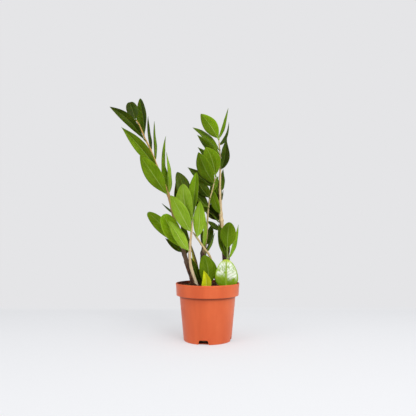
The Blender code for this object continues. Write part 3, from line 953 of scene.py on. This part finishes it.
def notch_cutter(low_gap, low_radius, high_gap, high_radius, notch_top):
    """A prism as wide as the notch at two heights, with eased upper corners."""
    middle = (low_gap[0] + low_gap[1]) / 2
    low_half = low_radius * math.sin((low_gap[1] - low_gap[0]) / 2)
    high_half = high_radius * math.sin((high_gap[1] - high_gap[0]) / 2)
    slope = (low_half - high_half) / (NOTCH_HIGH - NOTCH_LOW)
    foot_half = low_half + slope * (NOTCH_LOW + 0.001)
    top_half = high_half - slope * (notch_top - NOTCH_HIGH)
    shoulder = notch_top - NOTCH_EASE
    section = [(-foot_half, -0.001), (-top_half, shoulder), (-top_half + NOTCH_EASE, notch_top)]
    section += [(-x, z) for x, z in reversed(section)]
    inner, outer = low_radius - NOTCH_REACH, low_radius + NOTCH_REACH
    out = np.array((math.cos(middle), math.sin(middle), 0.0))
    across = np.array((-math.sin(middle), math.cos(middle), 0.0))
    points = [out * r + across * x + UP * z for r in (inner, outer) for x, z in section]
    count = len(section)
    faces = [tuple(range(count)), tuple(reversed(range(count, 2 * count)))]
    faces += [(i, i + count, (i + 1) % count + count, (i + 1) % count) for i in range(count)]
    return working_solid("notch", points, faces)


def pot_outline(top, band_foot, floor):
    """The pot's (radius, height, ease) corners, its wall's thickness and its outer radii going up."""
    _, rim = pot_cut(top - 0.002)
    outer, wall = rim.max(), np.ptp(rim)
    band = pot_radius(band_foot + 0.0006)
    body = pot_radius(band_foot - 0.004)
    low = pot_radius(0.012)
    base = low - (body - low) / (band_foot - 0.016) * 0.012
    corners = [
        (0.0, 0.0006, 0),
        (base * 0.62, 0.0006, 0.0006),
        (base * 0.66, 0.0, 0.0006),
        (base, 0.0, 0.0022),
        (body + 0.0002, band_foot - 0.0016, 0.0008),
        (band - wall, band_foot, 0.0007),
        (band, band_foot, 0.0008),
        (outer - 0.00035, top - 0.0042, 0.0006),
        (outer, top - 0.0036, 0.0006),
        (outer - 0.0001, top, 0.0009),
        (outer - wall, top, 0.0006),
        (band - wall, band_foot + 0.0035, 0.0008),
        (body - wall, band_foot, 0.0012),
        (base - wall + 0.0002, floor, 0.0016),
        (0.0, floor, 0),
    ]
    return corners, wall, (base, body, band, outer)


def turned_solid(profile):
    """The solid swept by a (radius, height) outline that starts and ends on the axis."""
    points = []
    for radius, height in profile[1:-1]:
        for step in range(POT_STEPS):
            turn = 2 * math.pi * step / POT_STEPS
            points.append((radius * math.cos(turn), radius * math.sin(turn), height))
    rings = len(profile) - 2
    faces = [quad[::-1] for quad in ring_faces(0, rings, POT_STEPS)]
    under, inner = len(points), len(points) + 1
    points += [(0.0, 0.0, profile[0][1]), (0.0, 0.0, profile[-1][1])]
    last = (rings - 1) * POT_STEPS
    for step in range(POT_STEPS):
        after = (step + 1) % POT_STEPS
        faces.append((under, after, step))
        faces.append((inner, last + step, last + after))
    return working_solid("pot_turned", points, faces)


def build_pot():
    """The turned shell of the pot, with its drain notches cut out."""
    top, band_foot, floor = read_pot()
    corners, wall, outer_radii = pot_outline(top, band_foot, floor)
    turned = turned_solid(rounded(corners))
    low_gaps, low_radius = notch_gaps(NOTCH_LOW)
    high_gaps, high_radius = notch_gaps(NOTCH_HIGH)
    notch_top = next(height for height in np.arange(0.004, 0.02, 0.00025) if not notch_gaps(height)[0])
    cutters = []
    for low_gap, high_gap in zip(low_gaps, high_gaps):
        cutter = notch_cutter(low_gap, low_radius, high_gap, high_radius, notch_top)
        boolean = turned.modifiers.new("notch", "BOOLEAN")
        boolean.operation = "DIFFERENCE"
        boolean.solver = "EXACT"
        boolean.object = cutter
        cutters.append(cutter)
    bpy.context.view_layer.update()
    shaped = turned.evaluated_get(bpy.context.evaluated_depsgraph_get())
    made = bpy.data.meshes.new_from_object(shaped)
    points = np.array([vert.co for vert in made.vertices])
    faces = [tuple(polygon.vertices) for polygon in made.polygons]
    for unused in (*cutters, turned):
        bpy.data.objects.remove(unused, do_unlink=True)
    reach = np.hypot(points[:, 0], points[:, 1])
    outside = np.interp(points[:, 2], (0.0, band_foot, band_foot + 0.001, top), outer_radii)
    inside = ((outside - reach > wall * 0.7) & (points[:, 2] > floor * 0.6)).astype(float)
    plastic = pot_material(band_foot)
    pot = make_piece("pot_shell", points, faces, plastic, "pot_plastic", ["pot"], inside=inside)
    pot.data.set_sharp_from_angle(angle=math.radians(40))


build_pot()


# -------- soil

CRUMBS = 620
CRUMB_SIZES = (0.0004, 0.0006, 0.0008, 0.0011, 0.0016)
FIBRES = 70
FIBRE_STEPS = 9
FIBRE_SIDES = 5
soil_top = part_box("soil")[1].z
soil_points = node_mesh("soil")[0]
soil_reach = np.hypot(soil_points[:, 0], soil_points[:, 1])
soil_radius = soil_reach[soil_points[:, 2] > soil_top - 0.004].max()
soil_edge = soil_points[soil_reach > soil_radius - 0.0006, 2].max()


def soil_height(x, y):
    """The height of the uneven soil at a place."""
    share = min(1.0, math.hypot(x, y) / soil_radius)
    level = soil_top + (soil_edge - soil_top) * share + 0.0004
    return level + 0.0011 * noise.fractal(Vector((x * 160, y * 160, 3.7)), 0.9, 2.1, 5) + 0.0006


def build_soil(material):
    """The soil's surface: an uneven disc whose edge dips against the pot's wall."""
    rings, spokes = 46, 150
    points = [(0.0, 0.0, soil_height(0.0, 0.0))]
    for ring in range(1, rings + 1):
        radius = soil_radius * ring / rings
        for spoke in range(spokes):
            turn = 2 * math.pi * spoke / spokes
            x, y = radius * math.cos(turn), radius * math.sin(turn)
            points.append((x, y, soil_height(x, y) - (0.0015 if ring == rings else 0.0)))
    faces = [(0, 1 + s, 1 + (s + 1) % spokes) for s in range(spokes)]
    faces += ring_faces(1, rings, spokes)
    make_piece("soil_surface", points, faces, material, "soil")


def soil_place(rng, share):
    """A random place on the soil, as (radius, bearing)."""
    return soil_radius * math.sqrt(rng.random()) * share, rng.uniform(0, 2 * math.pi)


def build_crumbs():
    """Loose clods, chips and fibres on the soil."""
    rng = random.Random(11)
    bm = bmesh.new()
    bmesh.ops.create_icosphere(bm, subdivisions=2, radius=1.0)
    ball = [np.array(v.co) for v in bm.verts]
    ball_faces = [tuple(v.index for v in f.verts) for f in bm.faces]
    bm.free()
    points, faces, lightness = [], [], []
    for index in range(CRUMBS):
        radius, turn = soil_place(rng, 0.97)
        x, y = radius * math.cos(turn), radius * math.sin(turn)
        size = rng.choice(CRUMB_SIZES)
        stretch = np.array([rng.uniform(0.6, 1.5) for _ in range(3)])
        centre = np.array((x, y, soil_height(x, y) + size * 0.25))
        light = rng.random() ** 1.6
        faces += [tuple(len(points) + k for k in face) for face in ball_faces]
        for corner in ball:
            rough = 1.0 + 0.45 * noise.noise(Vector(corner * 1.7 + index))
            points.append(centre + corner * stretch * size * rough)
        lightness += [light] * len(ball)
    for index in range(FIBRES):
        radius, turn = soil_place(rng, 0.9)
        heading = rng.uniform(0, 2 * math.pi)
        bend = rng.uniform(-120, 120)
        length = rng.uniform(0.004, 0.012)
        path = []
        for step in range(FIBRE_STEPS):
            share = step / (FIBRE_STEPS - 1)
            gone = (share - 0.5) * length
            aim = heading + bend * gone
            x = radius * math.cos(turn) + gone * math.cos(aim)
            y = radius * math.sin(turn) + gone * math.sin(aim)
            if math.hypot(x, y) > soil_radius * 0.96:
                x, y = x * 0.9, y * 0.9
            lift = 0.0007 + 0.0008 * math.sin(share * 3.1 + index)
            path.append((x, y, soil_height(x, y) + lift))
        thick = [rng.uniform(0.00012, 0.00025)] * FIBRE_STEPS
        more, more_faces, _ = tube(path, thick, FIBRE_SIDES, len(points))
        points += more
        faces += more_faces
        lightness += [rng.uniform(0.55, 1.0)] * len(more)
    make_piece("soil_crumbs", points, faces, crumb_material(), "soil", lightness=lightness)


peat = soil_material()
build_soil(peat)
build_crumbs()
dress_node("soil", peat)
dress_node("rhizome", rhizome_material())


# -------- floor, light and camera

FLOOR_TONE = (238, 239, 242)
WALL_TONE = (229, 229, 231)
BLACK = (0, 0, 0)
FLOOR_SIZE = 12.0
FLOOR_GLOW = 0.5
TONE_CHANGE = 0.387
STUDIO_FILL = 0.3


def build_floor():
    """One wide pale sheet. Its tone falls a little behind the plant, as a paper backdrop's does."""
    mesh = bpy.data.meshes.new("floor")
    half = FLOOR_SIZE / 2
    corners = [(-half, -half, 0), (half, -half, 0), (half, half, 0), (-half, half, 0)]
    mesh.from_pydata(corners, [], [(0, 1, 2, 3)])
    shader = Shader("paper", Roughness=1.0, Specular_IOR_Level=0.0)
    where = shader.node("ShaderNodeTexCoord").outputs["Object"]
    depth = shader.node("ShaderNodeSeparateXYZ", {0: where}).outputs[1]
    reach = shader.node("ShaderNodeVectorMath", {0: where}, operation="LENGTH").outputs["Value"]
    glow = shader.spread(reach, 0.6, 2.4, FLOOR_GLOW, 1.0)
    far = shader.spread(depth, TONE_CHANGE - 0.06, TONE_CHANGE + 0.03)
    fibre = shader.noise(400.0, 3.0)
    pale = shader.mix(shader.spread(fibre, 0.3, 0.7), FLOOR_TONE, (235, 236, 239))
    shader.set(Base_Color=shader.mix(far, shader.mix(glow, pale, BLACK), BLACK))
    shader.set(Emission_Color=shader.mix(far, FLOOR_TONE, WALL_TONE))
    rest = shader.times(far, shader.math("SUBTRACT", 1.0, glow))
    shader.set(Emission_Strength=shader.plus(glow, rest))
    mesh.materials.append(shader.material)
    floor = placed("floor", mesh)


def add_light(name, place, aim, size, power):
    light = bpy.data.lights.new(name, "AREA")
    light.shape = "DISK"
    light.size = size
    light.energy = power
    lamp = placed(name, light)
    lamp.location = place
    lamp.rotation_euler = (Vector(aim) - Vector(place)).to_track_quat("-Z", "Y").to_euler()


def build_light():
    """Soft even light from a bright room, with four large lamps above and in front."""
    world = bpy.data.worlds.new("studio")
    world.use_nodes = True
    nodes, links = world.node_tree.nodes, world.node_tree.links
    background = next(n for n in nodes if n.type == "BACKGROUND")
    background.inputs["Color"].default_value = srgb(*WALL_TONE)
    seen = nodes.new("ShaderNodeLightPath").outputs["Is Camera Ray"]
    strength = nodes.new("ShaderNodeMapRange")
    links.new(seen, strength.inputs[0])
    strength.inputs[3].default_value = STUDIO_FILL
    links.new(strength.outputs[0], background.inputs["Strength"])
    bpy.context.scene.world = world
    add_light("top", (0.0, -0.2, 1.7), (0.0, 0.0, 0.0), 2.2, 16.0)
    add_light("key", (0.35, -0.95, 1.15), (0.0, 0.0, 0.2), 0.6, 7.0)
    add_light("right", (1.2, -0.8, 0.7), (0.0, 0.0, 0.15), 1.1, 5.0)
    add_light("left", (-1.1, -0.9, 0.7), (0.0, 0.0, 0.15), 1.1, 5.0)


def build_camera():
    data = bpy.data.cameras.new("camera")
    data.sensor_width = 36.0
    data.lens = 38.54
    data.clip_start = 0.01
    camera = placed("camera", data)
    camera.location = (0.00078, -0.85, 0.1875)
    camera.rotation_euler = (math.radians(90.0 + 4.04), 0.0, 0.0)
    bpy.context.scene.camera = camera
    bpy.context.scene.view_settings.view_transform = "Standard"


build_floor()
build_light()
build_camera()

bpy.context.view_layer.update()
